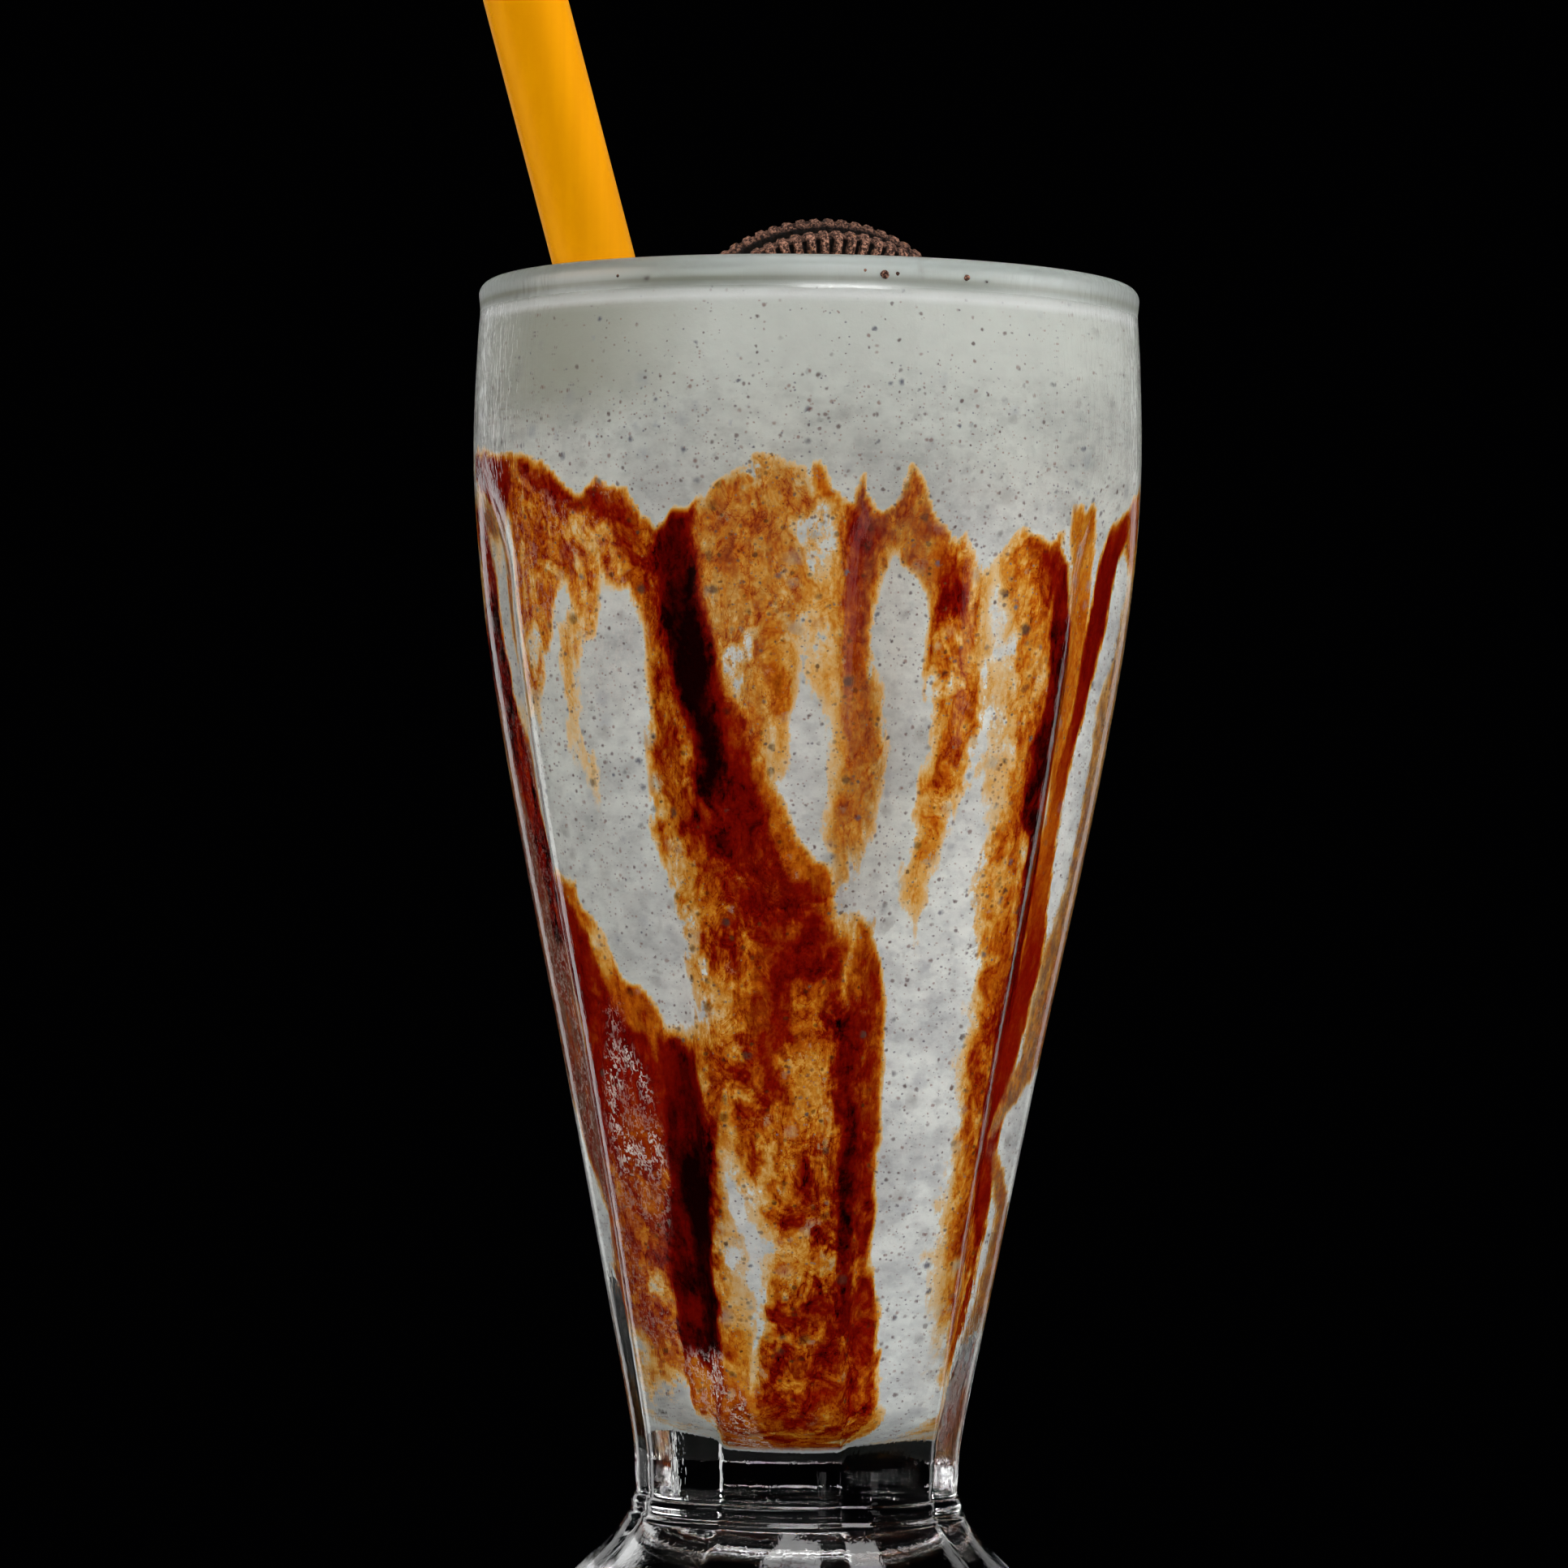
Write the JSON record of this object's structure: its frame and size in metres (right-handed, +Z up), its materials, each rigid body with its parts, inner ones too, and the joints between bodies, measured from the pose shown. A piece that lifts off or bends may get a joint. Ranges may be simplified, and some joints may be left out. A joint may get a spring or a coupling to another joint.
{
  "type": "cookies and cream milkshake in a footed glass",
  "caption": "Tall fluted glass on a foot, filled to the rim with a thick streaked milkshake, with a fat straw and a sandwich cookie standing in it.",
  "frame": {"origin": "under the middle of the bounding box, on the surface that the foot stands on", "axes": "+Z up along the glass; the picture looks along +Y, so +X is to its right and the straw leans towards -X"},
  "size_m": [0.0906, 0.087, 0.2383],
  "materials": {
    "clear_glass": "clear, polished",
    "milkshake": "thick pale cream with dark cookie specks and caramel-brown syrup streaks",
    "straw": "satin yellow-orange",
    "cookie_wafer": "rough dark baked crumb",
    "cookie_cream": "soft matt cream"
  },
  "bodies": {
    "root": {"glass": "clear_glass", "milkshake": "milkshake", "straw": "straw", "cookie_wafer_front": "cookie_wafer", "cookie_wafer_back": "cookie_wafer", "cookie_cream": "cookie_cream"}
  },
  "joints": []
}
